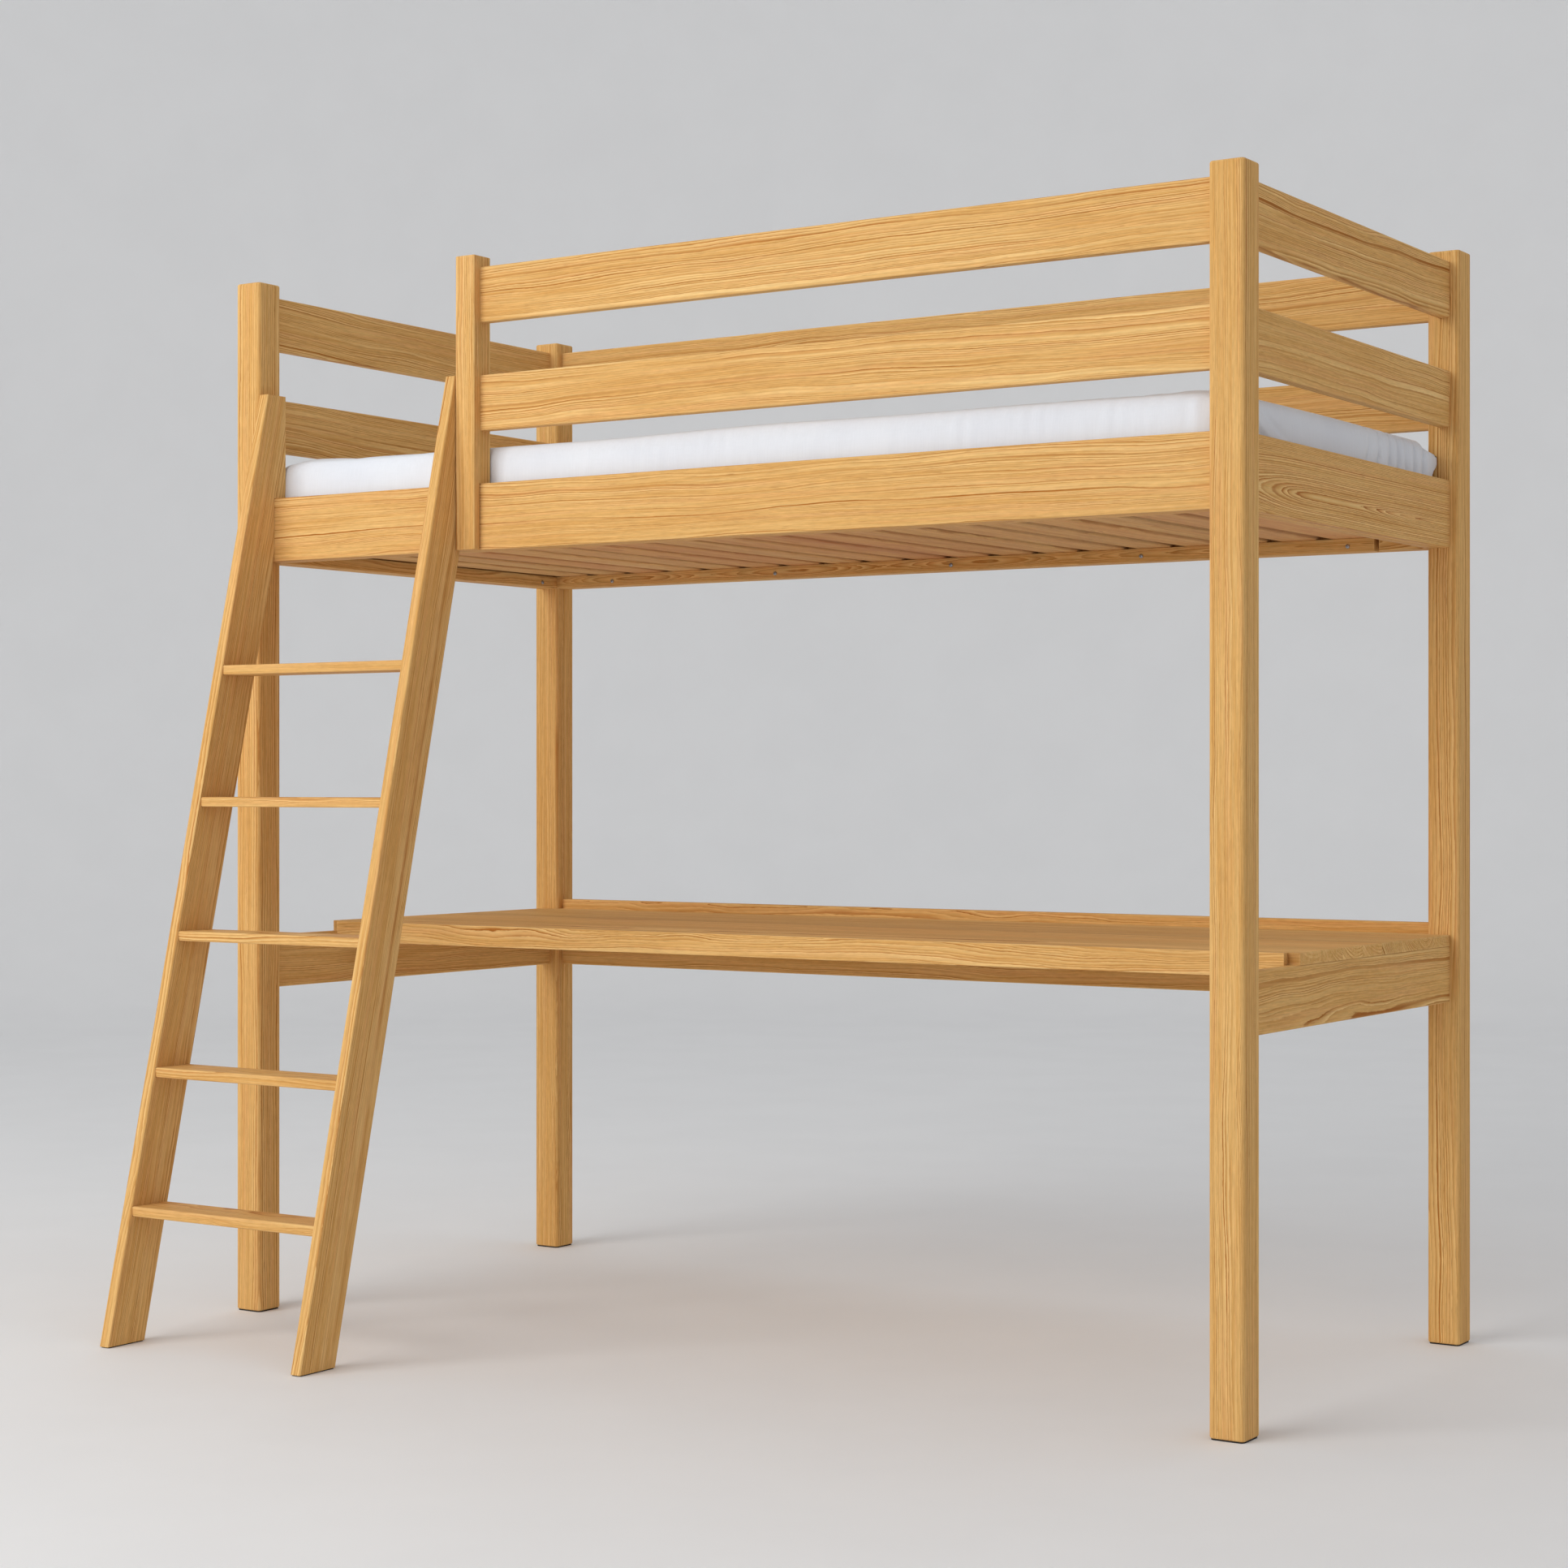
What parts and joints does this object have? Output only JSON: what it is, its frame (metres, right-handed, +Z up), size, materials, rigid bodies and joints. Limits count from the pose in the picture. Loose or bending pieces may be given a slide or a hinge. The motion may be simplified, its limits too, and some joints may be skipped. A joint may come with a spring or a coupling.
{
  "type": "loft bed with desk",
  "caption": "High single bed in pale solid wood with guard rails, slats, a mattress, a leaning ladder at its left end and a full-length desk below.",
  "frame": {"origin": "on the floor, in the middle of the footprint of the four posts and the ladder's feet", "axes": "+X along the bed, to the right as seen from the ladder side; +Y from the ladder side towards the wall side; +Z up"},
  "size_m": [2.08, 1.388, 1.952],
  "materials": {
    "pine": "oiled, satin",
    "pine_desk": "oiled, satin",
    "pine_slats": "planed, matte",
    "beech": "plain, matte",
    "ticking": "woven cotton, matte",
    "zinc": "zinc plated, satin",
    "pads": "matte"
  },
  "bodies": {
    "frame": {"barrel_nuts": "zinc", "bed_rail_back": "pine", "bed_rail_front": "pine", "bed_rail_left": "pine", "bed_rail_right": "pine", "bed_slats": "pine_slats", "desk_back_rail": "pine_desk", "desk_dowels": "beech", "desk_end_rail_left": "pine_desk", "desk_end_rail_right": "pine_desk", "desk_front_strip": "pine_desk", "desk_top": "pine_desk", "guard_fixing_screws": "zinc", "guard_post": "pine", "ledger_screws": "zinc", "mid_rail_back": "pine", "mid_rail_front": "pine", "mid_rail_left": "pine", "mid_rail_right": "pine", "post_back_left": "pine", "post_back_right": "pine", "post_front_left": "pine", "post_front_right": "pine", "post_pads": "pads", "rail_dowels": "beech", "rail_studs": "zinc", "slat_ledger_back": "pine", "slat_ledger_back_end": "pine", "slat_ledger_front": "pine", "slat_ledger_left": "pine", "slat_ledger_right": "pine", "slat_screws": "zinc", "top_rail_back": "pine", "top_rail_front": "pine", "top_rail_left": "pine", "top_rail_right": "pine"},
    "ladder": {"ladder_pads": "pads", "ladder_stile_left": "pine", "ladder_stile_right": "pine", "ladder_tread_1": "pine", "ladder_tread_2": "pine", "ladder_tread_3": "pine", "ladder_tread_4": "pine", "ladder_tread_5": "pine"},
    "mattress": {"mattress": "ticking"}
  },
  "joints": [
    {"name": "ladder_lift_off", "type": "slide", "parent": "frame", "child": "ladder", "axis": [0, -0.7071, 0.7071], "range_m": [0, 0.6]},
    {"name": "mattress_lift_out", "type": "slide", "parent": "frame", "child": "mattress", "axis": [0, 0, 1], "range_m": [0, 0.5]}
  ]
}
